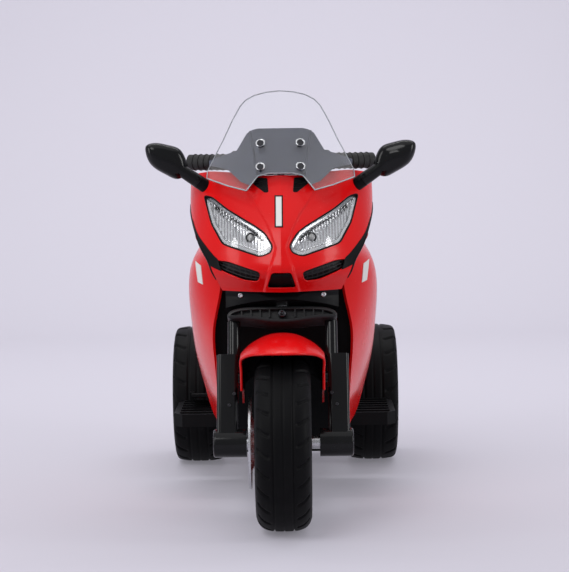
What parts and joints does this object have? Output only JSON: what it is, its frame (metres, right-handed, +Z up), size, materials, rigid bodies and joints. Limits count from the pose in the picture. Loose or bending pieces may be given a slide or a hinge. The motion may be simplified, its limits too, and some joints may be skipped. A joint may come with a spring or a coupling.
{
  "type": "kids electric motorbike",
  "caption": "Child's battery ride-on motorbike: steered front wheel in a fork, paired rear wheels, faired nose with headlamps, windscreen, mirrors, padded seat and foot pedal.",
  "frame": {"origin": "on the floor under the middle of the part's bounding box", "axes": "+Z up, front wheel towards -Y, rider's left towards +X"},
  "size_m": [0.4762, 1.06, 0.75],
  "materials": {
    "red_panel": "glossy moulded plastic",
    "black_plastic": "satin moulded plastic",
    "cowl_grey": "satin moulded plastic",
    "clear_screen": "clear moulded sheet",
    "lamp_lens": "clear lens",
    "lamp_chrome": "vacuum metallised plastic",
    "steel": "plated steel",
    "bar_black": "black painted tube",
    "grip_rubber": "soft ribbed grip",
    "tyre": "moulded black",
    "rim_red": "dark red moulded plastic",
    "coupler_nylon": "moulded nylon",
    "seat_vinyl": "padded vinyl",
    "mirror_silver": "mirror sheet",
    "tail_red": "red lens plastic",
    "battery_grey": "sealed battery case",
    "button_red": "push button",
    "button_grey": "switch cap",
    "dial_white": "plain dial"
  },
  "bodies": {
    "chassis": {"battery": "battery_grey", "body_shell": "red_panel", "chin_grille": "black_plastic", "control_box": "black_plastic", "dash_panel": "black_plastic", "drive_motor": "steel", "floor_pan": "black_plastic", "footboard_left": "black_plastic", "footboard_right": "black_plastic", "front_shield": "black_plastic", "gearbox_housing": "black_plastic", "head_bracket": "black_plastic", "headlamp_lens_left": "lamp_lens", "headlamp_lens_right": "lamp_lens", "headlamp_reflector_left": "lamp_chrome", "headlamp_reflector_right": "lamp_chrome", "instrument_cowl": "cowl_grey", "intake_grille_left": "black_plastic", "intake_grille_right": "black_plastic", "mirror_mount_left": "black_plastic", "mirror_mount_right": "black_plastic", "nose_mask": "red_panel", "rear_axle": "steel", "rear_axle_spacer": "steel", "seat_pad": "seat_vinyl", "side_fairing_left": "red_panel", "side_fairing_right": "red_panel", "speed_dial": "dial_white", "tail_light": "tail_red", "wheel_nuts": "steel", "windscreen": "clear_screen", "windscreen_screws": "steel"},
    "steering": {"fork_leg_left": "black_plastic", "fork_leg_right": "black_plastic", "lower_yoke": "black_plastic", "steering_stem": "steel", "bar_clamp": "black_plastic", "handlebar": "bar_black", "grip_left": "grip_rubber", "grip_right": "grip_rubber", "front_mudguard": "red_panel", "front_axle": "steel", "front_axle_spacers": "steel"},
    "front_wheel": {"front_tyre": "tyre", "front_rim": "rim_red", "brake_disc": "steel"},
    "rear_wheel_left": {"rear_tyre_left": "tyre", "rear_rim_left": "rim_red"},
    "rear_wheel_right": {"rear_tyre_right": "tyre", "rear_rim_right": "rim_red", "drive_coupler": "coupler_nylon"},
    "mirror_left": {"mirror_housing_left": "black_plastic", "mirror_glass_left": "mirror_silver"},
    "mirror_right": {"mirror_housing_right": "black_plastic", "mirror_glass_right": "mirror_silver"},
    "pedal": {"accelerator_pedal": "black_plastic"},
    "power": {"power_button": "button_red"},
    "horn": {"horn_button": "button_grey"},
    "direction": {"direction_switch": "button_grey"}
  },
  "joints": [
    {"name": "steering_turn", "type": "hinge", "parent": "chassis", "child": "steering", "pos_m": [0, -0.38, 0.15], "axis": [0, 0.3746, 0.9272], "range_deg": [-20, 20]},
    {"name": "front_wheel_spin", "type": "hinge", "parent": "steering", "child": "front_wheel", "pos_m": [0, -0.38, 0.15], "axis": [1, 0, 0], "continuous": true},
    {"name": "rear_left_spin", "type": "hinge", "parent": "chassis", "child": "rear_wheel_left", "pos_m": [0.176, 0.31, 0.139], "axis": [1, 0, 0], "continuous": true},
    {"name": "rear_right_spin", "type": "hinge", "parent": "chassis", "child": "rear_wheel_right", "pos_m": [-0.176, 0.31, 0.139], "axis": [1, 0, 0], "continuous": true},
    {"name": "mirror_left_tilt", "type": "hinge", "parent": "chassis", "child": "mirror_left", "pos_m": [0.137, -0.209, 0.584], "axis": [0.8008, -0.2146, 0.5592], "range_deg": [-15, 15]},
    {"name": "mirror_right_tilt", "type": "hinge", "parent": "chassis", "child": "mirror_right", "pos_m": [-0.137, -0.209, 0.584], "axis": [-0.8008, -0.2146, 0.5592], "range_deg": [-15, 15]},
    {"name": "pedal_press", "type": "hinge", "parent": "chassis", "child": "pedal", "pos_m": [-0.152, 0.114, 0.161], "axis": [1, 0, 0], "range_deg": [0, 8], "stiffness_Nm_per_rad": 1.5, "springref_deg": -2.86},
    {"name": "power_press", "type": "slide", "parent": "chassis", "child": "power", "axis": [0, 0, -1], "range_m": [0, 0.0025], "stiffness_N_per_m": 400},
    {"name": "horn_press", "type": "slide", "parent": "chassis", "child": "horn", "axis": [0, 0, -1], "range_m": [0, 0.0025], "stiffness_N_per_m": 400},
    {"name": "direction_rock", "type": "hinge", "parent": "chassis", "child": "direction", "pos_m": [-0.045, -0.133, 0.53142], "axis": [1, 0, 0], "range_deg": [-12, 12]}
  ]
}
